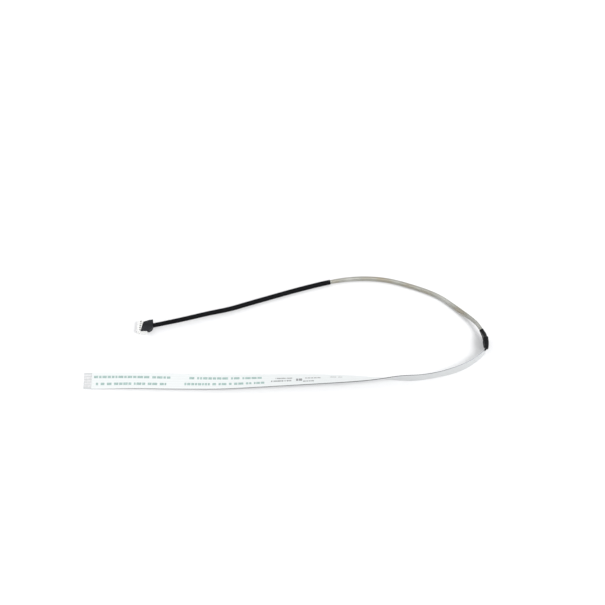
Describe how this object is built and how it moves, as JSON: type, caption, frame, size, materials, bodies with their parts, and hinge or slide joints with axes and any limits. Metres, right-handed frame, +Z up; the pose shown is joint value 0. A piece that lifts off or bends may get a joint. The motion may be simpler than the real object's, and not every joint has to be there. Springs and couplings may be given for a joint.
{
  "type": "webcam cable",
  "caption": "Internal webcam cable: white crimp connector, black sleeve, bare shield braid, taped solder joint and a flat flexible cable with bare contacts.",
  "frame": {"origin": "on the table under the middle of the connector, the taped joint and the flat cable taken together", "axes": "+X along the flat cable's straight part, from its contact end towards the taped joint, +Z up from the table"},
  "size_m": [0.1784, 0.0531, 0.0084],
  "materials": {
    "housing_nylon": "satin",
    "contact_tin": "satin",
    "cloth_tape": "matte",
    "wire_insulation": "satin",
    "sleeve_black": "satin",
    "braid_tinned": "satin",
    "solder": "glossy",
    "film_white": "satin",
    "conductor_tin": "satin",
    "stiffener_film": "satin"
  },
  "bodies": {
    "root": {"connector_housing": "housing_nylon", "connector_contact_1": "contact_tin", "connector_contact_2": "contact_tin", "connector_contact_3": "contact_tin", "connector_contact_4": "contact_tin", "connector_contact_5": "contact_tin", "connector_tape": "cloth_tape", "wire_1": "wire_insulation", "wire_2": "wire_insulation", "wire_3": "wire_insulation", "wire_4": "wire_insulation", "wire_5": "wire_insulation", "black_sleeve": "sleeve_black", "shield_braid": "braid_tinned", "joint_tape": "cloth_tape", "solder_joint_1": "solder", "solder_joint_2": "solder", "solder_joint_3": "solder", "solder_joint_4": "solder", "solder_joint_5": "solder", "ffc_base_film": "film_white", "ffc_cover_film": "film_white", "ffc_conductor_1": "conductor_tin", "ffc_conductor_2": "conductor_tin", "ffc_conductor_3": "conductor_tin", "ffc_conductor_4": "conductor_tin", "ffc_conductor_5": "conductor_tin", "ffc_stiffener": "stiffener_film"}
  },
  "joints": []
}
